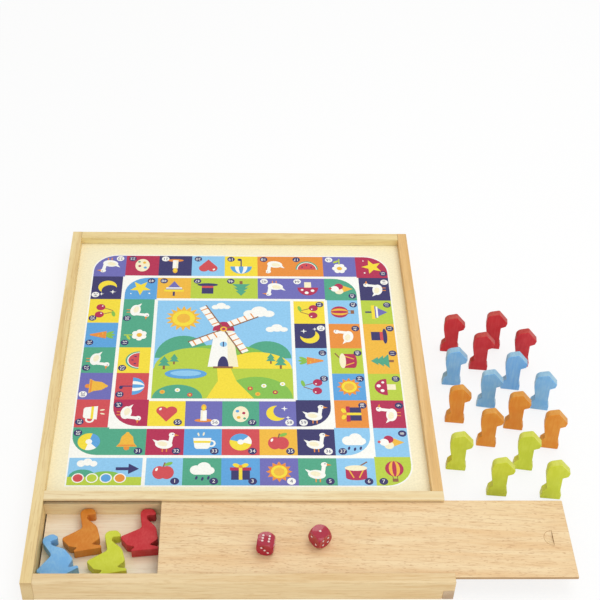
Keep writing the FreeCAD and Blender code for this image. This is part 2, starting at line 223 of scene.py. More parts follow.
for name, size, watts, place in (
    ("overhead_softbox", (1.1, 0.8), 6.3, (0.42, 0.3, 1.25)),
    ("front_softbox", (1.4, 0.9), 5.4, (0.3, -1.35, 0.75)),
):
    lamp_data = bpy.data.lights.new(name, "AREA")
    lamp_data.shape = "RECTANGLE"
    lamp_data.size, lamp_data.size_y = size
    lamp_data.energy = watts
    lamp = bpy.data.objects.new(name, lamp_data)
    bpy.context.collection.objects.link(lamp)
    lamp.location = place
    lamp.rotation_euler = (LAMP_AIM - lamp.location).to_track_quat("-Z", "Y").to_euler()
    print(name, "at", [round(v, 2) for v in lamp.location])
bpy.context.scene.view_settings.view_transform = "Standard"

# %% [markdown]
# ## Beech
# The rails and the lid are beech, sanded and given a thin clear lacquer. Close up, beech is a pale
# straw colour with soft growth bands, fine fibres along the board, and short brown flecks. A picture
# of a plank would show them too, but a noise pattern that is stretched along the grain never repeats,
# and each rail can start elsewhere in it. The fibres are really a tenth of a millimetre wide. They are
# drawn about ten times as coarse, so that they show at this distance.

# %% Beech along the grain


def beech(name, along, shift, pale, warm, fleck, band=6.0, run=18, fibre=1.2, slant=0.0, dash=0.25):
    """Lacquered beech with its grain along X (0) or Y (1); shift starts the pattern elsewhere.
    Band and fibre are widths in millimetres, run is how many times as long a streak is as wide, slant
    is the angle in degrees at which the plank was sawn off its grain, and dash is how dark its flecks
    are."""
    material, tree, shader = new_material(name, {"Specular IOR Level": 0.4})
    place = add(tree, "ShaderNodeTexCoord").outputs["Object"]
    stretched = []
    for length in (run, run / 3):
        scale = [1.0, 1.0, 1.0]
        scale[along] = length
        settings = {"vector_type": "TEXTURE", "Location": shift, "Scale": scale}
        settings["Rotation"] = (0, 0, math.radians(slant))
        stretched.append(add(tree, "ShaderNodeMapping", settings, {"Vector": place}))
    long_grain, ray_grain = stretched
    layers = {
        # streaks: width, detail, distortion, stretch, where they begin and are full, most of them, colour
        "bands": (band, 2.0, 0.5, long_grain, 0.36, 0.68, 1.0, warm),
        "fibres": (fibre, 3.0, 0.0, long_grain, 0.50, 0.74, 0.50, fleck),
        "flecks": (fibre, 1.0, 0.0, ray_grain, 0.60, 0.72, dash, fleck),
    }
    noises = {}
    last = None
    for streaks, (width, detail, distortion, grain, low, high, most, colour) in layers.items():
        settings = {"Scale": 1 / (width * MM), "Detail": detail, "Distortion": distortion}
        noises[streaks] = add(tree, "ShaderNodeTexNoise", settings, {"Vector": grain.outputs[0]})
        limits = {"From Min": low, "From Max": high, "To Max": most}
        share = add(tree, "ShaderNodeMapRange", limits, {"Value": noises[streaks].outputs["Fac"]})
        tones = {"data_type": "RGBA", 6: hue(pale), 7: hue(colour)}
        mix = add(tree, "ShaderNodeMix", tones, {0: share.outputs[0]})
        if last:
            tree.links.new(last.outputs[2], mix.inputs[6])
        last = mix
    tree.links.new(last.outputs[2], shader.inputs["Base Color"])
    surface(tree, shader, noises["fibres"], 0.25, 0.08, (0.42, 0.58))
    return material


print("beech ready")

# %% Sawn ends


def end_grain(name, pale, deep):
    """Sawn ends: open pores, darker than the sides, with rings cut across."""
    material, tree, shader = new_material(name, {"Roughness": 0.65})
    place = add(tree, "ShaderNodeTexCoord").outputs["Object"]
    pores = add(tree, "ShaderNodeTexNoise", {"Scale": 1 / (0.8 * MM), "Detail": 3.0}, {"Vector": place})
    rings = add(
        tree,
        "ShaderNodeTexWave",
        {"wave_type": "RINGS", "Scale": 1 / (14 * MM), "Distortion": 2.0, "Detail": 1.0},
        {"Vector": place},
    )
    pair = {0: pores.outputs["Fac"], 1: rings.outputs["Fac"]}
    both = add(tree, "ShaderNodeMath", {"operation": "MULTIPLY"}, pair)
    two_tones(tree, shader, both.outputs[0], 0.1, 0.5, hue(deep), hue(pale))
    surface(tree, shader, pores, 0.3, 0.1)
    return material


sawn_end = end_grain("beech_sawn_end", "#DCC18C", "#C8A870")
print("made", sawn_end.name)

# %% [markdown]
# ## Rails with eased edges
# A joiner runs sandpaper along every edge, and the narrow bright line on it tells the eye that it is
# wood. The solids have sharp edges and loose triangles, on which a Bevel modifier finds no clean edge.
# So each rail is copied, its triangles are joined to flat faces, and its outer edges are bevelled by
# half a millimetre. Faces across the grain get the sawn end. The glue lines of butted rails are dark, and
# the walls of the lid's grooves are coloured dark brown too, as painted shade. Two faces get a paler
# wood, as painted light.

# %% Helpers for pieces


def make_piece(bm, name, body, materials, stands_for=None):
    """Turns a bmesh into a piece that rides on a body, and hides the solid it stands for."""
    mesh = bpy.data.meshes.new(name)
    bm.to_mesh(mesh)
    bm.free()
    for material in materials:
        mesh.materials.append(material)
    piece = bpy.data.objects.new(name, mesh)
    bpy.context.collection.objects.link(piece)
    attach(piece, body)
    if stands_for:
        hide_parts(stands_for)
    return piece


def round_off(bm, geom, offset, segments, affect="EDGES", clamp=False):
    """Rounds edges or corners by an offset in millimetres, and returns what that made."""
    return bmesh.ops.bevel(
        bm,
        geom=geom,
        offset=offset * MM,
        offset_type="OFFSET",
        affect=affect,
        segments=segments,
        profile=0.5,
        material=-1,
        clamp_overlap=clamp,
    )


def eased_copy(node, ease):
    """A copy of a solid, with flat faces for its triangles and its outer edges bevelled."""
    bm = bmesh.new()
    bm.from_mesh(nodes[node].data)
    bmesh.ops.remove_doubles(bm, verts=bm.verts, dist=0.002 * MM)
    bmesh.ops.dissolve_limit(bm, angle_limit=math.radians(1), verts=bm.verts, edges=bm.edges)
    outer = [e for e in bm.edges if e.is_manifold and e.calc_face_angle_signed(0) > math.radians(50)]
    round_off(bm, outer, ease, 2, clamp=True)
    return bm


print("helpers for pieces ready")

# %% Woods of the rails
RAILS = {
    # rail: grain axis, start of the pattern, pale colour, warm colour
    "left_rail": (1, (0.11, 0.02, 0.31), "#EED79E", "#E5C789"),
    "right_rail": (1, (0.52, 0.13, 0.07), "#E9C284", "#DDB06D"),
    "back_rail": (0, (0.23, 0.41, 0.02), "#EED79B", "#E5C888"),
    "divider_rail": (0, (0.07, 0.83, 0.45), "#F0DEB2", "#E8CE9A"),
    "front_rail": (0, (0.61, 0.19, 0.73), "#E9D0A0", "#DFBF8A"),
    "tray_end_rail": (1, (0.37, 0.59, 0.21), "#E4C48F", "#D6B079"),
}
# Two faces get a paler wood than the rest of their rail, as painted light.
PAINTED_LIGHT_FACES = {
    # rail: name of the wood on one of its faces, the way that face looks, pale colour, warm colour
    "front_rail": ("beech_front_top_painted_light", (0, 0, 1), "#EBD3A5", "#E1C18D"),
    "back_rail": ("beech_back_inside_painted_light", (0, -1, 0), "#F3E4A9", "#EAD596"),
}
GLUE_LINES = {
    # rail: how far from the middle of the divider it butts against another rail
    "back_rail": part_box("right_rail")[0].x,
    "right_rail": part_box("divider_rail")[1].y,
}
RAIL_EASE = 0.45
GROOVE_START = -144.5 * MM
CLOSE = 0.5 * MM
# The groove walls get this dark brown as painted shade; the glue lines of butted rails get it as their dark
# joint.
groove_shade_and_glue_line = beech("beech_groove_shade_and_glue_line", 0, (0.8, 0.3, 0.6), "#7A5934", "#6A4B2A", "#523820")
patch_end = end_grain("beech_sawn_patch", "#C8AE8D", "#B29474")
lid_low, lid_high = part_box("sliding_lid")
print("glue lines at mm:", {rail: round(far / MM, 2) for rail, far in GLUE_LINES.items()})

# %% Rails


def in_lid_slot(face):
    """True for the walls of the grooves that the lid slides in, which get a dark brown painted shade."""
    middle = face.calc_center_median()
    across = lid_low.y - CLOSE < middle.y < lid_high.y + CLOSE and middle.x > GROOVE_START
    return across and lid_low.z < middle.z < lid_high.z + CLOSE and abs(face.normal.z) < 0.5


def at_glue_line(face, rail, along):
    """True for the eased ends of a rail where it butts against another and the glue line shows dark."""
    if rail not in GLUE_LINES:
        return False
    away = abs(face.calc_center_median()[along]) - GLUE_LINES[rail]
    return abs(away) < CLOSE and abs(face.normal[along]) > 0.3


for rail, (along, shift, pale, warm) in RAILS.items():
    bm = eased_copy(rail, RAIL_EASE)
    for face in bm.faces:
        dark = in_lid_slot(face) or at_glue_line(face, rail, along)
        face.material_index = 2 if dark else 1 if abs(face.normal[along]) > 0.9 else 0
    wood = beech(f"beech_{rail}", along, shift, pale, warm, "#C79E66")
    ends = patch_end if rail == "tray_end_rail" else sawn_end
    woods = [wood, ends, groove_shade_and_glue_line]
    if rail in PAINTED_LIGHT_FACES:
        wood_name, facing, pale, warm = PAINTED_LIGHT_FACES[rail]
        woods.append(beech(wood_name, along, shift, pale, warm, "#C79E66"))
        for face in bm.faces:
            face.material_index = 3 if face.normal.dot(facing) > 0.9 else face.material_index
    make_piece(bm, f"{rail}_eased", "frame", woods, rail)
    print(rail, "eased")

# %% [markdown]
# ## Sliding lid
# The lid is one thin plank, sawn a little off its grain, with a thumb nick near its right end: a gouge
# that ends at a straight wall. The nick is in the solid already. Thumbs wear its rim. A painted mask
# could show that, but it would need an unwrapped lid, so the edges between the nick and the flat face
# are picked out instead, and get a narrow flat bevel of their own. That rim is darker than the plank,
# where thumbs wear it, and the straight wall is coloured dark brown as painted shade.

# %% Lid
NICK_NEAR, NICK_FAR, SKIN = 12 * MM, 21 * MM, 0.02 * MM
bm = eased_copy("sliding_lid", 0.4)
for face in bm.faces:
    face.material_index = 1 if abs(face.normal.x) > 0.9 else 2 if abs(face.normal.y) > 0.9 else 0


def in_nick(face):
    """True for the faces of the thumb nick, which is cut into the lid near its right end."""
    middle = face.calc_center_median()
    along = NICK_NEAR < lid_high.x - middle.x < NICK_FAR
    return along and lid_low.z + CLOSE < middle.z < lid_high.z - SKIN


hollow = {face for face in bm.faces if in_nick(face)}
rim = [e for e in bm.edges if e.is_manifold and len(hollow.intersection(e.link_faces)) == 1]
worn = round_off(bm, rim, 0.3, 1, clamp=True)
walls = [face for face in bm.faces if in_nick(face) and face.normal.x < -0.9]
for face in worn["faces"]:
    face.material_index = 2
# The nick's straight wall is coloured dark brown: painted shade.
for face in walls:
    face.material_index = 3
lid_shift = (0.31, 0.27, 0.66)
plank = {"band": 7.0, "run": 14, "fibre": 0.8, "slant": -3.0, "dash": 0.6}
lid_wood = beech("beech_lid", 0, lid_shift, "#F0D5A7", "#E7C28F", "#C4966A", **plank)
lid_side = beech("beech_lid_side", 0, (0.5, 0.2, 0.4), "#C49E70", "#B28C5E", "#92704A")
nick_wall_shade = beech("beech_nick_wall_painted_shade", 0, (0.1, 0.6, 0.2), "#8A6238", "#74502C", "#5E3F22")
woods = [lid_wood, sawn_end, lid_side, nick_wall_shade]
make_piece(bm, "sliding_lid_eased", "lid", woods, "sliding_lid")
print("lid eased, with", len(worn["faces"]), "faces on the rim of its nick")

# %% [markdown]
# ## Tray floor and game panel
# The floor of the tray is thin plywood. Its upper face is a pale veneer, and its lower face, which shows
# when the board is turned over, is a red-brown one with long straight pores. Veneers could be thin sheets
# of their own, but one copy of the solid with another wood on each face looks the same. The lower edge
# of its left end is drawn out to just short of the rail, and the dark brown of the plywood's edges fills
# the slit there as painted shade, instead of the white ground. The panel is hidden between its two
# sheets, so its solid stays as it is and gets plain birch.

# %% Tray floor and panel
SLIT_LEFT = 0.06 * MM
bm = eased_copy("tray_floor", 0.15)
low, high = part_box("tray_floor")
foot = [v for v in bm.verts if v.co.x < low.x + 0.3 * MM and v.co.z < (low.z + high.z) / 2]
bmesh.ops.translate(bm, verts=foot, vec=(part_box("left_rail")[1].x - low.x + SLIT_LEFT, 0, 0))
bm.normal_update()
for face in bm.faces:
    face.material_index = 0 if face.normal.z > 0.9 else 1 if face.normal.z < -0.9 else 2
pale_veneer = beech("poplar_veneer", 0, (0.9, 0.4, 0.1), "#FCF1DA", "#F7E3C4", "#E6CDAC", band=10.0)
red_veneer = beech("okoume_veneer", 0, (0.2, 0.7, 0.5), "#D9A26C", "#CB9059", "#B5774A", band=4.0)
# The edges are dark brown, and in the slit at the left end that colour is painted shade.
ply_edge_and_slit_shade = beech("plywood_edge_and_slit_shade", 0, (0.4, 0.1, 0.8), "#6A4A2C", "#573A20", "#432B17", band=1.0)
veneers = [pale_veneer, red_veneer, ply_edge_and_slit_shade]
make_piece(bm, "tray_floor_veneered", "frame", veneers, "tray_floor")
birch = beech("birch_plywood", 0, (0.6, 0.5, 0.2), "#E6CFA2", "#D9BD8C", "#C2A070")
nodes["game_panel"].data.materials.clear()
nodes["game_panel"].data.materials.append(birch)
print("tray floor and panel dressed")

# %% [markdown]
# ## Printed paper
# Both faces of the panel are papered with a satin print. Flat inks lie on cream paper, and the paper's
# fibres show as a faint mottle and a slight roughness. Every ink is the same shader with its own
# colour, so that the print looks like one sheet.

# %% Inks


def print_ink(name, code):
    """Ink on satin paper: nearly flat, with a mottle of about a millimetre."""
    material, tree, shader = new_material(name, {"Specular IOR Level": 0.35})
    place = add(tree, "ShaderNodeTexCoord").outputs["Object"]
    mottle = add(tree, "ShaderNodeTexNoise", {"Scale": 1 / (1.6 * MM), "Detail": 3.0}, {"Vector": place})
    colour = hue(code)
    thin = [min(1.0, c * 1.05 + 0.004) for c in colour[:3]] + [1.0]
    thick = [c * 0.95 for c in colour[:3]] + [1.0]
    two_tones(tree, shader, mottle.outputs["Fac"], 0.3, 0.7, thin, thick)
    surface(tree, shader, mottle, 0.06, 0.05, (0.40, 0.52))
    return material


INK_COLOURS = {
    "white": "#FBFAF2",
    "cream": "#F8EFCB",
    "sky": "#8FC9EE",
    "blue": "#5AA3DC",
    "teal": "#4CA583",
    "lime": "#B9CF3E",
    "yellow": "#F5DD37",
    "gold": "#F0B93A",
    "orange": "#E98F35",
    "red": "#D0494F",
    "crimson": "#B3234E",
    "violet": "#6C6AB4",
    "navy": "#2F2B63",
    "brown": "#8F5F3E",
    "leaf": "#84BE4B",
}
INK_NAMES = list(INK_COLOURS)
inks = [print_ink(f"print_{name}", code) for name, code in INK_COLOURS.items()]
for sheet in ("goose_sheet", "ludo_sheet"):
    nodes[sheet].data.materials.clear()
    nodes[sheet].data.materials.append(inks[INK_NAMES.index("cream")])
print(len(inks), "inks mixed")

# %% [markdown]
# ## Drawing with flat shapes
# A print could be an image, but this one is drawn: discs, blocks and cut-out shapes lie on the paper
# in thin layers, as in a paper collage. A pen remembers the mesh, the place and turn of the picture
# being drawn, and the shapes that are in it. A new shape lies a hair above the highest one that it may
# overlap, so shapes side by side share a layer and the print stays thin. Sizes are in millimetres.

# %% The pen
HAIR = 0.02 * MM
pen = {"bm": None, "at": Matrix.Identity(4), "ground": 0, "placed": []}


def begin(at, ground):
    """Starts a picture at a place on the paper, above so many layers that are there already."""
    pen["at"], pen["ground"], pen["placed"] = at, ground, []


def lift_for(points):
    """How far a flat shape is lifted: one layer above the highest shape that its box overlaps."""
    xs, ys = [p.x for p in points], [p.y for p in points]
    box = (min(xs), max(xs), min(ys), max(ys))
    under = [pen["ground"]]
    for layer, (left, right, low, high) in pen["placed"]:
        if left < box[1] and right > box[0] and low < box[3] and high > box[2]:
            under.append(layer)
    pen["placed"].append((max(under) + 1, box))
    return Matrix.Translation((0, 0, (max(under) + 1) * HAIR))


def settle(face, ink):
    """Puts a fresh flat face in its place, above what it covers, and inks it."""
    face.normal_update()
    if face.normal.z < 0:
        face.normal_flip()
    lift = lift_for([v.co for v in face.verts])
    bmesh.ops.transform(pen["bm"], matrix=pen["at"] @ lift, verts=face.verts)
    face.material_index = INK_NAMES.index(ink)


def spot(x, y, turn, width, height):
    """Where a unit shape goes in the picture."""
    sizes = Matrix.Diagonal((width, height, 1, 1))
    return Matrix.Translation((x * MM, y * MM, 0)) @ Matrix.Rotation(math.radians(turn), 4, "Z") @ sizes


def ray(angle, reach=1.0, x=0.0, y=0.0):
    """The point at some reach from x and y, in a direction in degrees."""
    return x + reach * math.cos(math.radians(angle)), y + reach * math.sin(math.radians(angle))


print("pen ready, with layers", HAIR / MM, "mm apart")

# %% Shapes


def disc(ink, x, y, width, height=None, turn=0, sides=28):
    """A round or oval."""
    place = spot(x, y, turn, width, height or width)
    made = bmesh.ops.create_circle(pen["bm"], cap_ends=True, segments=sides, radius=MM / 2, matrix=place)
    settle(made["verts"][0].link_faces[0], ink)


def dome(ink, x, y, width, height, turn=0):
    """The upper half of an oval that is as wide as width and as high as height."""
    made = bmesh.ops.create_circle(pen["bm"], cap_ends=True, segments=36, radius=MM / 2)
    face = made["verts"][0].link_faces[0]
    whole = [face, *face.verts, *face.edges]
    cut = bmesh.ops.bisect_plane(
        pen["bm"], geom=whole, plane_co=(0, 0, 0), plane_no=(0, -1, 0), clear_outer=True
    )
    half = next(part for part in cut["geom"] if isinstance(part, bmesh.types.BMFace))
    bmesh.ops.transform(pen["bm"], matrix=spot(x, y, turn, width, 2 * height), verts=half.verts)
    settle(half, ink)


def shape(ink, points, rounding=None):
    """A shape cut along its corners; rounding gives some corners, by number, a radius."""
    corners = [pen["bm"].verts.new((x * MM, y * MM, 0)) for x, y in points]
    face = pen["bm"].faces.new(corners)
    for number, radius in (rounding or {}).items():
        bent = round_off(pen["bm"], [corners[number]], radius, 8, "VERTICES")
        face = bent["verts"][0].link_faces[0]
    settle(face, ink)


def block(ink, x, y, width, height, turn=0):
    """A rectangle about its middle."""
    made = bmesh.ops.create_grid(
        pen["bm"], x_segments=1, y_segments=1, size=MM / 2, matrix=spot(x, y, turn, width, height)
    )
    settle(made["verts"][0].link_faces[0], ink)


def star(ink, x, y, points, outer, inner, turn=90):
    """A star with so many points."""
    reaches = [outer, inner] * points
    shape(ink, [ray(turn + 180 * step / points, reach, x, y) for step, reach in enumerate(reaches)])


SHAPES = {"disc": disc, "dome": dome, "shape": shape, "block": block, "star": star}
print("shapes:", ", ".join(SHAPES))

# %% Numerals


def figures(ink, text, x, y, height, turn=0):
    """Plain numerals, made a mesh before they are placed."""
    curve = bpy.data.curves.new("numeral", "FONT")
    curve.body = text
    curve.align_x = "CENTER"
    curve.align_y = "CENTER"
    curve.resolution_u = 2
    holder = bpy.data.objects.new("numeral", curve)
    flat = bpy.data.meshes.new_from_object(holder)
    size = height / 0.7 * MM
    flat.transform(spot(x, y, turn, size, size))
    flat.transform(pen["at"] @ lift_for([v.co for v in flat.vertices]))
    for polygon in flat.polygons:
        polygon.material_index = INK_NAMES.index(ink)
    pen["bm"].from_mesh(flat)
    bpy.data.objects.remove(holder)
    bpy.data.curves.remove(curve)
    bpy.data.meshes.remove(flat)


print("numerals ready")

# %% [markdown]
# ## Little pictures for the squares
# A goose track has a small picture on each square. These are plain everyday things, drawn with a
# handful of shapes each. Every picture names two grounds, so that it can come back in another colour.
# The ink called ground is the colour of the square itself, and cuts a shape out of the one below it.
# A picture is a list of strokes and not a function, so that any square can be given any of them.

# %% First pictures
PICTURES = {
    "apple": ("sky", "gold", [
        ("disc", "red", -2.8, -1, 10.5, 12.5), ("disc", "red", 2.8, -1, 10.5, 12.5),
        ("block", "brown", 0.5, 6.5, 1.2, 4.5, -15), ("disc", "leaf", 3.8, 7.4, 6.5, 3, 25),
        ("disc", "white", -5, 2, 1.8, 3.4, -20),
    ]),
    "mushroom": ("lime", "violet", [
        ("block", "cream", 0, -4.5, 6, 8), ("dome", "crimson", 0, -1.5, 18, 10),
        ("disc", "white", -4, 2.5, 3.2), ("disc", "white", 1.2, 5.2, 3.4),
        ("disc", "white", 5, 1.6, 2.4),
    ]),
    "umbrella": ("yellow", "red", [
        ("block", "navy", 0, -3.5, 1.1, 11), ("disc", "navy", 1.4, -8.6, 3.8, 3),
        ("dome", "blue", 0, 0.5, 19, 9.5), ("dome", "white", 0, 0.5, 11, 9.5),
        ("dome", "blue", 0, 0.5, 4, 9.5),
    ]),
    "bell": ("violet", "teal", [
        ("disc", "orange", 0, -6.2, 4.4), ("disc", "gold", 0, 8.4, 3),
        ("shape", "gold", ((-8, -5), (8, -5), (5.4, -1), (4.4, 5), (2, 8), (-2, 8), (-4.4, 5), (-5.4, -1))),
        ("block", "orange", 0, -3.6, 13.4, 1.4),
    ]),
    "drum": ("sky", "lime", [
        ("block", "brown", 5.5, 7.4, 1.1, 8, -55), ("disc", "crimson", 0, -5.6, 16, 5),
        ("block", "crimson", 0, -1.2, 16, 9), ("block", "gold", -4, -1.4, 1, 9.6, 24),
        ("block", "gold", 4, -1.4, 1, 9.6, -24), ("disc", "cream", 0, 3.6, 17, 5.4),
    ]),
    "star": ("crimson", "blue", [
        ("star", "yellow", 0, 0, 5, 9.4, 4), ("disc", "white", -8, 7, 1.6),
        ("disc", "white", 8, -7.6, 1.6), ("disc", "white", 8, 7.4, 1.2),
    ]),
    "moon": ("navy", "violet", [
        ("disc", "yellow", -1, 0.5, 16), ("disc", "ground", 3.6, 2.6, 14),
        ("star", "white", 5.4, 5.4, 4, 2.8, 0.8), ("star", "white", 8, -4, 4, 2, 0.6),
    ]),
    "cloud": ("teal", "sky", [
        ("disc", "white", -4.5, 1.5, 9), ("disc", "white", 1.5, 3.8, 10.5), ("disc", "white", 6, 1, 7),
        ("block", "white", 0.6, -0.8, 12, 4.4), ("disc", "navy", -4, -6, 1.8, 3.6, -15),
        ("disc", "navy", 0.5, -7, 1.8, 3.6, -15), ("disc", "navy", 5, -6, 1.8, 3.6, -15),
    ]),
}
print(len(PICTURES), "pictures")

# %% More pictures
PETALS = [ray(angle, 3.9, 0, 2.4) for angle in range(0, 360, 60)]
PICTURES |= {
    "fir_tree": ("gold", "lime", [
        ("block", "brown", 0, -7.5, 2.6, 4), ("shape", "teal", ((-8, -5.5), (8, -5.5), (0, 2))),
        ("shape", "teal", ((-6.4, -1), (6.4, -1), (0, 5.6))),
        ("shape", "teal", ((-4.6, 3.4), (4.6, 3.4), (0, 9.4))),
    ]),
    "heart": ("sky", "yellow", [
        ("disc", "red", -3.8, 3, 8.8), ("disc", "red", 3.8, 3, 8.8),
        ("shape", "red", ((-7.4, 0.6), (0, 2.5), (7.4, 0.6), (0, -8.6))),
        ("disc", "white", -5, 4.6, 1.8, 2.8, -30),
    ]),
    "cup": ("red", "blue", [
        ("disc", "white", 6.4, -1.5, 7), ("disc", "ground", 6.4, -1.5, 4),
        ("shape", "white", ((-7.5, 4), (6.5, 4), (5, -7), (-6, -7)), {2: 2, 3: 2}),
        ("block", "yellow", -0.5, 0, 13, 2), ("disc", "cream", -3.5, 7.6, 1.4, 3.8, 12),
        ("disc", "cream", 0.5, 8, 1.4, 3.8, -12),
    ]),
    "balloon": ("lime", "sky", [
        ("block", "brown", -1.8, -4.6, 0.6, 6, 14), ("block", "brown", 1.8, -4.6, 0.6, 6, -14),
        ("disc", "crimson", 0, 3, 14, 15), ("disc", "gold", 0, 3, 8.4, 15),
        ("disc", "crimson", 0, 3, 3.2, 15), ("block", "brown", 0, -8, 4.4, 3),
    ]),
    "flower": ("violet", "teal", [
        ("block", "lime", 0, -6, 1.2, 9), ("disc", "lime", 3, -6.5, 5.6, 2.4, 30),
        *[("disc", "white", x, y, 5.2) for x, y in PETALS], ("disc", "gold", 0, 2.4, 4.6),
    ]),
    "cherries": ("yellow", "sky", [
        ("block", "brown", -2, 3.5, 0.8, 9, -24), ("block", "brown", 2.6, 3.5, 0.8, 9, 20),
        ("disc", "leaf", 3.6, 8, 7, 3, 15), ("disc", "crimson", -4.4, -3.2, 7.6),
        ("disc", "crimson", 4.6, -3.8, 7.6), ("disc", "white", -5.8, -1.8, 1.4),
        ("disc", "white", 3.2, -2.4, 1.4),
    ]),
    "parcel": ("blue", "orange", [
        ("block", "navy", 0, -2.6, 14, 10.4), ("block", "crimson", 0, 2.6, 16, 3),
        ("block", "yellow", 0, -1.8, 2.6, 12), ("disc", "yellow", -3.2, 6, 5.8, 3.6, -25),
        ("disc", "yellow", 3.2, 6, 5.8, 3.6, 25), ("disc", "orange", 0, 5, 2.8),
    ]),
    "hat": ("gold", "lime", [
        ("block", "navy", 0, 1.5, 10, 11), ("disc", "navy", 0, -4.4, 18, 4),
        ("block", "red", 0, -1.6, 10, 2.6),
    ]),
}
print(len(PICTURES), "pictures")

# %% Last pictures and the goose
PICTURES |= {
    "candle": ("navy", "violet", [
        ("disc", "orange", 0, -7.2, 14, 3.6), ("block", "white", 0, -2, 4.8, 11),
        ("block", "cream", -1.4, -2, 1, 11), ("disc", "gold", 0, 6.4, 4.2, 6.8),
        ("disc", "yellow", 0, 5.6, 2.2, 4),
    ]),
    "ball": ("teal", "red", [
        ("disc", "white", 0, 0, 17), ("dome", "blue", 0, 0, 17, 8.5, 45),
        ("dome", "yellow", 0, 0, 17, 8.5, 165), ("disc", "white", 0, 0, 5),
    ]),
    "ice_cream": ("sky", "teal", [
        ("shape", "gold", ((-4.8, -0.5), (4.8, -0.5), (0, -10))), ("disc", "cream", -3, 2, 7.6),
        ("disc", "crimson", 3, 2, 7.6), ("disc", "white", 0, 5.6, 7.2), ("disc", "red", 0.4, 9.4, 2.4),
    ]),
    "melon": ("orange", "yellow", [
        ("dome", "teal", 0, 4, 20, 11, 180), ("dome", "white", 0, 4, 17.6, 9.6, 180),
        ("dome", "red", 0, 4, 16.2, 8.7, 180), ("disc", "navy", -4, 0.8, 1.1, 2.2),
        ("disc", "navy", 0, -1.4, 1.1, 2.2), ("disc", "navy", 4, 0.8, 1.1, 2.2),
    ]),
    "carrot": ("blue", "sky", [
        ("disc", "leaf", -2.4, 7, 2.8, 7, 25), ("disc", "leaf", 0, 7.6, 2.8, 7),
        ("disc", "leaf", 2.4, 7, 2.8, 7, -25),
        ("shape", "orange", ((-4.4, 4), (4.4, 4), (0.7, -9.6), (-0.7, -9.6))),
        ("block", "gold", -1.6, 1, 2.8, 0.8, 10), ("block", "gold", 1.2, -2.5, 2.4, 0.8, -10),
    ]),
    "sun": ("violet", "blue", [
        ("star", "orange", 0, 0, 12, 10, 7), ("disc", "yellow", 0, 0, 12.4), ("disc", "gold", 0, 0, 8),
    ]),
    "spinning_top": ("lime", "gold", [
        ("block", "navy", 0, 7, 1.8, 6),
        ("shape", "violet", ((-8.4, 2.6), (8.4, 2.6), (4, -2.6), (0, -9), (-4, -2.6))),
        ("block", "yellow", 0, 3.2, 17, 2.8), ("block", "white", 0, 0, 13.6, 1.6),
    ]),
    "egg": ("crimson", "teal", [
        ("disc", "cream", 0, -0.5, 12.6, 16.6), ("disc", "blue", -2.6, 2.6, 2.8),
        ("disc", "crimson", 2.4, 0.6, 2.6), ("disc", "gold", -1.6, -4, 3), ("disc", "teal", 3, -5, 2.2),
    ]),
}
GOOSE_PICTURE = [
    ("block", "orange", -1.6, -8, 0.9, 4), ("block", "orange", 1.6, -8, 0.9, 4),
    ("shape", "white", ((-9.6, 2.6), (-4, -6), (2, -2))), ("disc", "white", -0.8, -2.6, 13.4, 8.6, -8),
    ("block", "white", 4.4, 2.6, 3, 10, -8), ("disc", "white", 5.2, 7, 5, 4.6),
    ("shape", "orange", ((7, 8), (10.8, 6.4), (7, 5.8))), ("disc", "navy", 5.8, 7.6, 1),
    ("disc", "cream", -1.8, -2, 7.8, 4.6, -12),
]
GOOSE_GROUNDS = ("teal", "crimson", "navy", "orange", "violet")


def draw_picture(strokes, ground):
    """Draws a picture at the pen, with the ground's own ink where the strokes ask for it."""
    for kind, ink, *rest in strokes:
        SHAPES[kind](ground if ink == "ground" else ink, *rest)


print(len(PICTURES), "pictures")

# %% [markdown]
# ## The goose track
# The track is a spiral of sixty-three squares that winds inwards from the lower left corner to a
# picture in the middle. Their places could be typed in, but a walk on a grid finds them by itself: one
# step ahead each time, with a turn to the left where the way is taken. Squares of one lane touch, a
# white line parts the lanes, and the outer corner of each turn is rounded. Every fourth or fifth square
# in the old order has a goose.

# %% Walk of the track
CELLS = 9
PITCH = (29.0, 29.2)
GRID_CORNER = (-129.6, 13.6)
LANE_GAP = 2.8
SQUARES = 63
taken = {(0, 0), (1, 0)}
walk = []
cell, step = (2, 0), (1, 0)
while len(walk) < SQUARES:
    walk.append((cell, step))
    taken.add(cell)
    ahead = (cell[0] + step[0], cell[1] + step[1])
    if ahead in taken or not (0 <= ahead[0] < CELLS and 0 <= ahead[1] < CELLS):
        step = (-step[1], step[0])
        ahead = (cell[0] + step[0], cell[1] + step[1])
    cell = ahead
print("track ends at cell", walk[-1][0])

# %% Shape and picture of a square
GOOSE_SQUARES = (5, 9, 14, 18, 23, 27, 32, 36, 41, 45, 50, 54, 59)
PLAIN_SQUARES = [number for number in range(1, SQUARES + 1) if number not in GOOSE_SQUARES]
PICTURE_STEP, ROUND_STEP = 7, 3
AROUND = ((1, 0), (0, 1), (-1, 0), (0, -1))


def square_corners(number):
    """Corners of a square, which reaches its neighbours on the track and leaves a line at other lanes."""
    column, row = walk[number - 1][0]
    beside = [place for place, heading in walk[max(0, number - 2) : number + 1]]
    reach = []
    for right, up in AROUND:
        half = PITCH[0 if right else 1] / 2
        reach.append(half if (column + right, row + up) in beside else half - LANE_GAP / 2)
    right, up, left, down = reach
    return [(right, up), (-left, up), (-left, -down), (right, -down)]


def square_picture(number):
    """Ground and strokes of a square's picture: a goose, or the next of the everyday things."""
    if number in GOOSE_SQUARES:
        return GOOSE_GROUNDS[GOOSE_SQUARES.index(number) % len(GOOSE_GROUNDS)], GOOSE_PICTURE
    times_round, pick = divmod(PLAIN_SQUARES.index(number), len(PICTURES))
    chosen = (pick * PICTURE_STEP + times_round * ROUND_STEP) % len(PICTURES)
    ground, other, strokes = list(PICTURES.values())[chosen]
    return other if times_round % 2 else ground, strokes


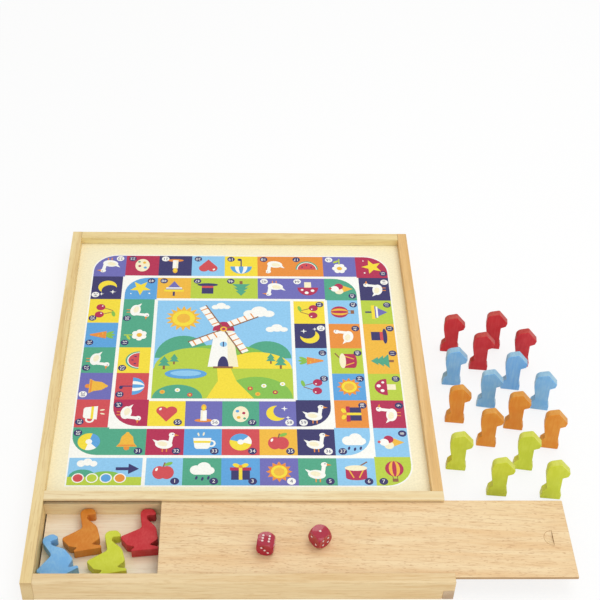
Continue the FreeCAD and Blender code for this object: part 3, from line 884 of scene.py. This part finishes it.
print(len(GOOSE_SQUARES), "squares with a goose and", len(PLAIN_SQUARES), "others")

# %% Squares, pictures and numbers
BADGE_ACROSS, BADGE_UP, BADGE_WIDTH = 9.0, -9.2, 6.6
TURN_RADIUS, BORDER = 20.0, 1.2
goose_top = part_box("goose_sheet")[1].z
paper_place = Matrix.Translation((0, 0, goose_top))
pen["bm"] = bmesh.new()


def draw_square(number):
    """One square of the track: its ground, its picture and its number."""
    cell, heading = walk[number - 1]
    turning = number < SQUARES and walk[number][1] != heading
    outer = (AROUND.index(heading) + 3) % 4
    ground, strokes = square_picture(number)
    across, up = (GRID_CORNER[i] + cell[i] * PITCH[i] + PITCH[i] / 2 for i in (0, 1))
    here = paper_place @ Matrix.Translation((across * MM, up * MM, 0))
    begin(here, 1)
    shape(ground, square_corners(number), {outer: TURN_RADIUS} if turning else None)
    begin(here @ Matrix.Rotation(math.atan2(heading[1], heading[0]), 4, "Z"), 2)
    draw_picture(strokes, ground)
    badge = (-BADGE_ACROSS if turning else BADGE_ACROSS, BADGE_UP)
    dark = ground not in ("navy", "violet")
    disc("navy" if dark else "white", *badge, BADGE_WIDTH)
    figures("white" if dark else "navy", str(number), *badge, BADGE_WIDTH / 2)


begin(paper_place, 0)
x0, y0 = (corner + LANE_GAP / 2 - BORDER for corner in GRID_CORNER)
x1, y1 = (GRID_CORNER[i] + CELLS * PITCH[i] - LANE_GAP / 2 + BORDER for i in (0, 1))
rounded = {corner: TURN_RADIUS + 1.0 for corner in (0, 1, 3)}
shape("white", ((x1, y1), (x0, y1), (x0, y0), (x1, y0)), rounded)
for number in range(1, SQUARES + 1):
    draw_square(number)
print("squares drawn:", len(pen["bm"].faces), "faces so far")

# %% [markdown]
# ## Start field and middle picture
# Two cells at the lower left are the start, with a round place for each goose and an arrow. The middle
# of the spiral holds a large picture in the same flat style: a white windmill on green hills. The start
# is drawn from its lower left corner and the picture from its middle, as one would measure them out.

# %% Start field
begin(paper_place @ Matrix.Translation((GRID_CORNER[0] * MM, GRID_CORNER[1] * MM, 0)), 1)
wide, high = 2 * PITCH[0], PITCH[1]
edge_painted_light = LANE_GAP / 2
shape("sky", ((wide - edge_painted_light, high - edge_painted_light), (edge_painted_light, high - edge_painted_light), (edge_painted_light, edge_painted_light), (wide - edge_painted_light, edge_painted_light)))
block("lime", wide / 2, 5.4, wide - LANE_GAP, 8)
dome("teal", 12.4, 9.4, 20, 7)
dome("leaf", 30, 9.4, 24, 5.4)
for place, ink in enumerate(("red", "lime", "blue", "orange")):
    disc("white", 9.4 + 10.4 * place, 8.2, 9.2)
    disc(ink, 9.4 + 10.4 * place, 8.2, 7.4)
shape("navy", ((46.4, 18.6), (46.4, 22.2), (54.4, 17.2), (46.4, 12.2), (46.4, 15.8), (37, 15.8), (37, 18.6)))
disc("white", 10.6, 22.2, 6.4)
disc("white", 15.4, 23.6, 7)
disc("white", 20, 22, 5.6)
print("start field drawn")

# %% Sky and hills of the middle picture
centre = [(GRID_CORNER[0] + 4 * PITCH[0]) * MM, (GRID_CORNER[1] + 5 * PITCH[1]) * MM, 0]
begin(paper_place @ Matrix.Translation(centre), 1)
half_w, half_h = 2 * PITCH[0] - edge_painted_light, 2 * PITCH[1] - edge_painted_light
block("sky", 0, 0, 2 * half_w, 2 * half_h)
star("gold", -34, 35, 16, 15.5, 10.5)
disc("yellow", -34, 35, 19)
disc("gold", -34, 35, 11)
for x, y, size in ((29, 41, 1.0), (44, 22, 0.7), (-3, 49, 0.6)):
    disc("white", x - 7 * size, y, 11 * size, 9 * size)
    disc("white", x + 1 * size, y + 2.6 * size, 14 * size, 13 * size)
    disc("white", x + 9 * size, y, 10 * size, 8 * size)
dome("teal", -33, -12, 46, 26)
dome("teal", 36, -12, 40, 20)
dome("leaf", 0, -14, 76, 18)
dome("lime", -22, -24, 68, 24)
dome("yellow", 28, -24, 56, 19)
block("lime", 0, -40.5, 2 * half_w, 2 * (half_h - 40.5))
dome("leaf", 27, -half_h, 58, 24)
dome("teal", -36, -half_h, 40, 15)
shape("yellow", ((-5, -20), (5, -20), (11, -38), (25, -half_h), (-13, -half_h), (-4, -38)))
disc("blue", -30, -30, 34, 11)
disc("sky", -30, -29.4, 25, 6.4)
print("sky and hills drawn on", round(2 * half_w, 1), "by", round(2 * half_h, 1), "mm")

# %% Windmill
HUB = (0, 22)
SAIL_OFF = 3.4
shape("white", ((-12.5, -22), (12.5, -22), (7.6, 20), (-7.6, 20)))
shape("cream", ((4, -22), (12.5, -22), (7.6, 20), (3, 20)))
dome("crimson", 0, 20, 18.4, 11)
dome("navy", 0, -22, 9, 12)
block("brown", 0, -22.6, 16, 2)
disc("sky", 0, 4, 6)
block("navy", 0, 4, 0.9, 6)
for turn in range(28, 360, 90):
    block("brown", *ray(turn, 16.5, *HUB), 33, 1.5, turn)
    block("white", *ray(turn + 90, SAIL_OFF, *ray(turn, 19.5, *HUB)), 26, 6, turn)
    for bar in (9.5, 16, 22.5, 29):
        block("orange", *ray(turn + 90, SAIL_OFF, *ray(turn, bar, *HUB)), 1.1, 6, turn)
disc("gold", *HUB, 6)
disc("crimson", *HUB, 3)
print("windmill drawn")

# %% Trees and flowers
for x, y, size in ((-48, -17, 1.0), (-40, -13, 0.8), (47, -16, 1.0), (39, -12, 0.8)):
    block("brown", x, y - 6 * size, 1.8 * size, 4 * size)
    shape("teal", ((x - 5 * size, y - 4 * size), (x + 5 * size, y - 4 * size), (x, y + 3 * size)))
    shape("teal", ((x - 4 * size, y), (x + 4 * size, y), (x, y + 7 * size)))
FLOWERS = (
    (22, -46, "red"), (33, -43, "white"), (42, -50, "crimson"), (28, -52, "gold"),
    (-48, -50, "gold"), (-36, -48, "white"), (-26, -53, "red"), (48, -41, "white"),
)
for x, y, ink in FLOWERS:
    disc(ink, x, y, 4.2)
    disc("yellow" if ink != "gold" else "orange", x, y, 1.8)
goose_print = make_piece(pen["bm"], "goose_print", "frame", inks)
layers = max(layer for layer, box in pen["placed"])
print("goose print:", len(goose_print.data.polygons), "faces in", layers, "layers")

# %% [markdown]
# ## The ludo cross
# The underside has the traditional cross: a lane of round dots for each colour, a run of numbered
# boxes that leads to a star in the middle, and a large disc in each corner where the horses wait. One
# quarter is drawn and turned round the middle four times. The sheet is read from below, with its top
# towards the left side of the board.

# %% A quarter of the ludo cross
LUDO_PITCH = 16.8
WAITING = (-79, -79)
low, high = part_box("ludo_sheet")
underside = Matrix((
    (0, -1, 0, 0),
    (-1, 0, 0, (low.y + high.y) / 2),
    (0, 0, -1, low.z),
    (0, 0, 0, 1),
))
pen["bm"] = bmesh.new()
MARK = "navy"
QUARTERS = (("blue", "sky"), ("leaf", "teal"), ("red", "crimson"), ("yellow", "gold"))


def draw_quarter(turns, ink, deep):
    """The lower arm of the cross as its player sees it, turned clockwise by so many quarters."""
    begin(underside @ Matrix.Rotation(math.radians(-90 * turns), 4, "Z"), 0)
    dots = [(-1, -far) for far in range(1, 8)] + [(-far, -1) for far in range(2, 8)] + [(0, -7)]
    for across, along in dots:
        disc(ink, across * LUDO_PITCH, along * LUDO_PITCH, 13.6)
    x, y = -LUDO_PITCH, -7 * LUDO_PITCH
    shape(MARK, ((x - 3, y - 2.4), (x + 3, y - 2.4), (x, y + 3.2)))
    for number in range(1, 7):
        place = -(7 - number) * LUDO_PITCH
        block(ink, 0, place, 16.6, 12.4)
        figures(MARK, str(number), 0, place, 8.4)
    x, y = WAITING
    for width, colour in ((101, ink), (92, deep), (88, ink), (54, deep), (50, "white"), (46, ink)):
        disc(colour, x, y, width, sides=96 if width > 60 else 72)
    bend = [ray(angle) for angle in range(-62, 243, 8)]
    shoe = [(x + 17 * px, y + 17 * py) for px, py in bend]
    hollow = [(x + 9 * px, y + 10.5 * py) for px, py in reversed(bend)]
    shape(MARK, shoe + hollow)
    for px, py in [ray(angle) for angle in range(-40, 230, 38)]:
        disc("white", x + 13.4 * px, y + 13.8 * py, 2.4)
    for angle in range(0, 360, 30):
        star("white" if angle % 60 else MARK, *ray(angle, 35.5, x, y), 4, 4.6, 1.5, angle)


print("cross of", len(QUARTERS), "quarters, with dots", LUDO_PITCH, "mm apart")

# %% Ludo print
FLANK = math.degrees(0.9)
for turns, (ink, deep) in enumerate(QUARTERS):
    draw_quarter(turns, ink, deep)
begin(underside, 1)
for turns, (ink, deep) in enumerate(QUARTERS):
    angle = 225 - 90 * turns
    shape(ink, ((0, 0), ray(angle - FLANK, 4), ray(angle, 14.5), ray(angle + FLANK, 4)))
star(MARK, 0, 0, 4, 12.4, 3.2, 0)
ludo_print = make_piece(pen["bm"], "ludo_print", "frame", inks)
print("ludo print:", len(ludo_print.data.polygons), "faces")

# %% [markdown]
# ## Painted pawns
# The geese are sawn from an eight-millimetre board and the horses from a six-millimetre one. They are
# tumbled to soften the edges, and painted. A subdivided block could be pulled to such a shape, but a saw
# cuts along a line, and so does this: the corners of the outline are joined to a face, each corner is
# rounded, the face is pushed out to the thickness, and both rims are bevelled.

# %% Pawn outlines
GOOSE_OUTLINE = (
    # across, up, radius of the corner
    (0.0, 0.0, 0.7), (19.6, 0.0, 0.8), (19.6, 2.2, 0.8), (13.0, 4.4, 0.8), (19.6, 8.6, 2.4),
    (18.7, 19.4, 7.0), (12.3, 27.6, 2.6), (13.3, 30.7, 1.0), (18.4, 30.2, 0.9), (19.5, 31.6, 0.9),
    (17.6, 36.0, 3.6), (7.8, 36.9, 4.6), (8.4, 19.8, 2.8), (-6.2, 13.9, 0.9), (-7.0, 12.2, 0.9),
    (-2.9, 5.4, 1.2), (2.7, 3.5, 0.7), (0.1, 1.3, 0.9),
)
HORSE_OUTLINE = (
    (0.0, 0.0, 0.8), (15.2, 0.0, 0.8), (15.2, 5.0, 0.9), (13.8, 8.2, 1.2), (13.2, 24.2, 0.9),
    (17.0, 26.4, 1.3), (17.9, 30.2, 1.0), (10.1, 39.4, 1.4), (0.7, 36.2, 5.0), (0.7, 25.0, 9.0),
    (3.4, 11.6, 0.9), (0.6, 7.8, 1.0),
)
GOOSE_THICKNESS, HORSE_THICKNESS, TUMBLED = 8.0, 6.0, 0.55


def pawn_mesh(outline, thickness):
    """A pawn lying on its back: its outline in X and Y, its thickness in Z."""
    bm = bmesh.new()
    corners = [bm.verts.new((x * MM, y * MM, 0)) for x, y, radius in outline]
    bm.faces.new(corners)
    places = [Vector((x, y, 0)) for x, y, radius in outline]
    for n, corner in enumerate(corners):
        back = (places[n - 1] - places[n]).normalized()
        ahead = (places[(n + 1) % len(places)] - places[n]).normalized()
        reach = outline[n][2] / math.tan(back.angle(ahead) / 2)
        round_off(bm, [corner], reach, 6, "VERTICES")
    pushed = bmesh.ops.extrude_face_region(bm, geom=bm.faces[:])
    fresh = [part for part in pushed["geom"] if isinstance(part, bmesh.types.BMVert)]
    bmesh.ops.translate(bm, verts=fresh, vec=(0, 0, thickness * MM))
    bmesh.ops.recalc_face_normals(bm, faces=bm.faces)
    rims = [e for e in bm.edges if e.is_manifold and any(abs(f.normal.z) > 0.9 for f in e.link_faces)]
    round_off(bm, rims, TUMBLED, 3)
    for face in bm.faces:
        face.material_index = 0 if abs(face.normal.z) > 0.5 else 1
    mesh = bpy.data.meshes.new("pawn")
    bm.to_mesh(mesh)
    bm.free()
    return mesh


goose_mesh = pawn_mesh(GOOSE_OUTLINE, GOOSE_THICKNESS)
horse_mesh = pawn_mesh(HORSE_OUTLINE, HORSE_THICKNESS)
horse_mesh.transform(Matrix.Rotation(math.radians(90), 4, "X"))
print("goose faces:", len(goose_mesh.polygons), "horse faces:", len(horse_mesh.polygons))

# %% [markdown]
# ## Paint
# The paint is satin and thin: the grain shows through as faint ridges and streaks. The sawn edges get
# colours of their own, which are painted light: a little darker than the faces on the geese, as painted
# shade, and duller on the horses, as a painted sheen. Streaks could be painted by hand on a mask, but
# the same noise does it on all twenty pawns, so only the colours differ.

# %% Paint


def painted_wood(name, colour, worn):
    """Satin paint, sprayed thinly enough that the wood's grain still shows as faint ridges and streaks."""
    material, tree, shader = new_material(name, {"Specular IOR Level": 0.3})
    place = add(tree, "ShaderNodeTexCoord").outputs["Object"]
    grain = add(tree, "ShaderNodeMapping", {"Scale": (1, 0.5, 0.12)}, {"Vector": place})
    fine = {"Scale": 1 / (1.4 * MM), "Detail": 3.0}
    ridges = add(tree, "ShaderNodeTexNoise", fine, {"Vector": grain.outputs[0]})
    clouds = add(tree, "ShaderNodeTexNoise", {"Scale": 1 / (9 * MM), "Detail": 2.0}, {"Vector": place})
    pair = {0: ridges.outputs["Fac"], 1: clouds.outputs["Fac"]}
    both = add(tree, "ShaderNodeMath", {"operation": "MULTIPLY"}, pair)
    two_tones(tree, shader, both.outputs[0], 0.16, 0.4, hue(colour), hue(worn))
    surface(tree, shader, ridges, 0.2, 0.1, (0.38, 0.5))
    return material


PAINT_COLOURS = {
    # on the faces, in full and worn; on the sawn edges, in full and worn. The geese's colours are a little
    # darker than the horses', as painted shade from the walls of the tray.
    "goose": {
        "red": ("#C1262E", "#CA3E41", "#BC2A30", "#C64345"),
        "blue": ("#75B2E5", "#8CC1E8", "#76B0E0", "#8FC0E4"),
        "orange": ("#D07A20", "#D78B34", "#CC7A24", "#D48C3A"),
        "green": ("#CAD034", "#D2D846", "#C8CC38", "#D0D54C"),
    },
    "horse": {
        "red": ("#D2252D", "#DA3C3F", "#B83430", "#C25044"),
        "blue": ("#78BAF4", "#90C8F6", "#8CB8D4", "#A2C8DC"),
        "orange": ("#E48A24", "#E99D3C", "#D88E34", "#DFA24C"),
        "green": ("#CDD836", "#D6E04A", "#CED24A", "#D8DA60"),
    },
}
PAINTS = {}
for kind, colours in PAINT_COLOURS.items():
    for colour, (fresh, worn, edge_fresh, edge_worn) in colours.items():
        PAINTS[kind, colour] = [
            painted_wood(f"{colour}_paint_on_{kind}", fresh, worn),
            # The edge paint is painted light: painted shade on the geese, a painted sheen on the horses.
            painted_wood(f"{colour}_paint_on_{kind}_edge", edge_fresh, edge_worn),
        ]
print(len(PAINTS), "pairs of paints")

# %% [markdown]
# ## Setting out the pawns
# Each solid's box says where its pawn belongs: the middle of the box and its lowest point. The boxes
# don't tell the way a pawn faces, so the turns of the solids about the vertical are written down here.
# Smooth shading with sharp creases, and normals that lean on the large faces, keep the flat sides flat.

# %% Set out the pawns
GOOSE_TURNS = {"blue": 33.0, "orange": 11.1, "green": 11.0, "red": 5.9}
HORSE_TURNS = {"red": (6, 6, 8, 7), "blue": (5, 10, 8, 10), "orange": (6, 8, 9, 9), "green": (6, 5, 9, 6)}


def set_out(node, model, turn):
    """A copy of a pawn, turned about the vertical and put where its solid is."""
    kind, colour = node.split("_")[:2]
    bm = bmesh.new()
    bm.from_mesh(model)
    bmesh.ops.rotate(bm, verts=bm.verts, matrix=Matrix.Rotation(math.radians(turn), 3, "Z"))
    low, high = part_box(node)
    spans = [(min(v.co[i] for v in bm.verts), max(v.co[i] for v in bm.verts)) for i in range(3)]
    move = [(low[i] + high[i] - spans[i][0] - spans[i][1]) / 2 for i in range(3)]
    move[2] = low.z - spans[2][0]
    bmesh.ops.translate(bm, verts=bm.verts, vec=move)
    for face in bm.faces:
        face.smooth = True
    piece = make_piece(bm, f"{node}_painted", node, PAINTS[kind, colour], node)
    piece.data.set_sharp_from_angle(angle=math.radians(50))
    soften = piece.modifiers.new("even_shading", "WEIGHTED_NORMAL")
    soften.keep_sharp = True


for colour, turn in GOOSE_TURNS.items():
    set_out(f"goose_{colour}", goose_mesh, turn)
for colour, turns in HORSE_TURNS.items():
    for number, turn in enumerate(turns, start=1):
        set_out(f"horse_{colour}_{number}", horse_mesh, -turn)
bpy.data.meshes.remove(goose_mesh)
bpy.data.meshes.remove(horse_mesh)
print("pawns set out")

# %% [markdown]
# ## Dice
# The two dice are cast in red plastic and tumbled until their corners are round, so that each flat face
# is a disc. A cube with bevelled edges would keep square faces, so a ball is cut by six planes instead.
# Each cut is closed again around its pips, which are shallow cups with white paint in them.

# %% Shape of a die
DIE_SIZE, DIE_BALL = 12.0, 16.78
PIP_WIDTH, PIP_PITCH, PIP_DEPTH, PIP_WALL = 1.7, 2.3, 0.3, 0.25
PIPS = {
    1: ((0, 0),),
    2: ((-1, -1), (1, 1)),
    3: ((-1, 1), (0, 0), (1, -1)),
    4: ((-1, -1), (-1, 1), (1, -1), (1, 1)),
    5: ((-1, -1), (-1, 1), (0, 0), (1, -1), (1, 1)),
    6: ((-1, -1), (-1, 0), (-1, 1), (1, -1), (1, 0), (1, 1)),
}
SIDES = {
    # how a face that points up is turned to each side
    "top": (0, "X"), "bottom": (180, "X"), "front": (90, "X"),
    "back": (-90, "X"), "right": (90, "Y"), "left": (-90, "Y"),
}


def die_face(bm, count, turn):
    """Cuts one side of the ball flat and closes it round its pips."""
    normal = turn @ Vector((0, 0, 1))
    cut = bmesh.ops.bisect_plane(
        bm,
        geom=bm.verts[:] + bm.edges[:] + bm.faces[:],
        plane_co=normal * DIE_SIZE / 2 * MM,
        plane_no=normal,
        clear_outer=True,
    )
    rim = [part for part in cut["geom_cut"] if isinstance(part, bmesh.types.BMEdge)]
    for column, row in PIPS[count]:
        spot_on_face = Vector((column * PIP_PITCH, row * PIP_PITCH, DIE_SIZE / 2)) * MM
        place = turn.to_4x4() @ Matrix.Translation(spot_on_face)
        pip = PIP_WIDTH / 2 * MM
        made = bmesh.ops.create_circle(bm, cap_ends=True, segments=20, radius=pip, matrix=place)
        cup = made["verts"][0].link_faces[0]
        rim += cup.edges[:]
        cup.normal_update()
        if cup.normal.dot(normal) < 0:
            cup.normal_flip()
        cup.material_index = 1
        bmesh.ops.inset_individual(
            bm, faces=[cup], thickness=PIP_WALL * MM, depth=-PIP_DEPTH * MM, use_even_offset=True
        )
    filled = bmesh.ops.triangle_fill(bm, use_beauty=True, edges=rim, normal=normal)
    for part in filled["geom"]:
        if isinstance(part, bmesh.types.BMFace):
            part.material_index = 0


print("die sides:", ", ".join(SIDES))

# %% [markdown]
# ## Plastic and pip paint
# The plastic is tinted so strongly that little light comes through, so most of its colour is in the
# surface, and only a tenth of it is see-through. Fully clear plastic would take on the brown of the lid.

# %% Plastic and pip paint
# Cast acrylic, tumbled: deep red under a sharp polished highlight. Faint waves from the tumbling keep its
# reflections from being perfect.
cast = {
    "Base Color": hue("#B20432"),
    "IOR": 1.49,
    "Transmission Weight": 0.1,
    "Specular IOR Level": 0.5,
    "Coat Weight": 0.18,
}
red_plastic, tree, shader = new_material("red_acrylic_tumbled", cast)
place = add(tree, "ShaderNodeTexCoord").outputs["Object"]
waves = add(tree, "ShaderNodeTexNoise", {"Scale": 1 / (3 * MM), "Detail": 2.0}, {"Vector": place})
surface(tree, shader, waves, 0.05, 0.1, (0.04, 0.12))

# Pip paint: thick white enamel, slightly uneven.
pip_paint, tree, shader = new_material("white_enamel_pips", {"Roughness": 0.35})
place = add(tree, "ShaderNodeTexCoord").outputs["Object"]
pools = add(tree, "ShaderNodeTexNoise", {"Scale": 1 / (0.8 * MM), "Detail": 2.0}, {"Vector": place})
tones = {"data_type": "RGBA", 6: hue("#F4DEDA"), 7: hue("#E4C9C5")}
mix = add(tree, "ShaderNodeMix", tones, {0: pools.outputs["Fac"]})
tree.links.new(mix.outputs[2], shader.inputs["Base Color"])
surface(tree, shader, pools, 0.1, 0.05)
print("plastic and pip paint ready")

# %% [markdown]
# ## Dice on the lid
# On a die opposite sides add up to seven. The six sides are cut one after another, and the seams are
# welded. Round parts are shaded smooth and the rims of sides and pips stay sharp, because a tumbled die
# has soft corners but drilled pips. Each die rides on its own body, which the lid carries along.

# %% Put the dice on the lid
DICE = {
    # die: turn, then the pips on each side
    "die_1": (-10, {"top": 6, "bottom": 1, "front": 3, "back": 4, "right": 5, "left": 2}),
    "die_2": (40, {"top": 1, "bottom": 6, "front": 4, "back": 3, "right": 5, "left": 2}),
}
for die, (turn, counts) in DICE.items():
    bm = bmesh.new()
    bmesh.ops.create_uvsphere(bm, u_segments=64, v_segments=32, radius=DIE_BALL / 2 * MM)
    for face in bm.faces:
        face.smooth = True
    for side, (angle, axis) in SIDES.items():
        die_face(bm, counts[side], Matrix.Rotation(math.radians(angle), 3, axis))
    bmesh.ops.remove_doubles(bm, verts=bm.verts, dist=0.001 * MM)
    bmesh.ops.recalc_face_normals(bm, faces=bm.faces)
    low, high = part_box(die)
    place = Matrix.Translation((low + high) / 2) @ Matrix.Rotation(math.radians(turn), 4, "Z")
    bmesh.ops.transform(bm, matrix=place, verts=bm.verts)
    piece = make_piece(bm, f"{die}_acrylic", die, [red_plastic, pip_paint], die)
    piece.data.set_sharp_from_angle(angle=math.radians(35))
    print(die, "made:", len(piece.data.polygons), "faces")

# %% [markdown]
# ## Sizes
# The dressed board must be as large as the solids. Both boxes are measured, and how far their corners
# differ is printed.

# %% Compare the two boxes
dressed_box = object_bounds()
for cad_corner, dressed_corner in zip(cad_box, dressed_box):
    print("corners differ by mm:", [round((a - b) / MM, 2) for a, b in zip(cad_corner, dressed_corner)])
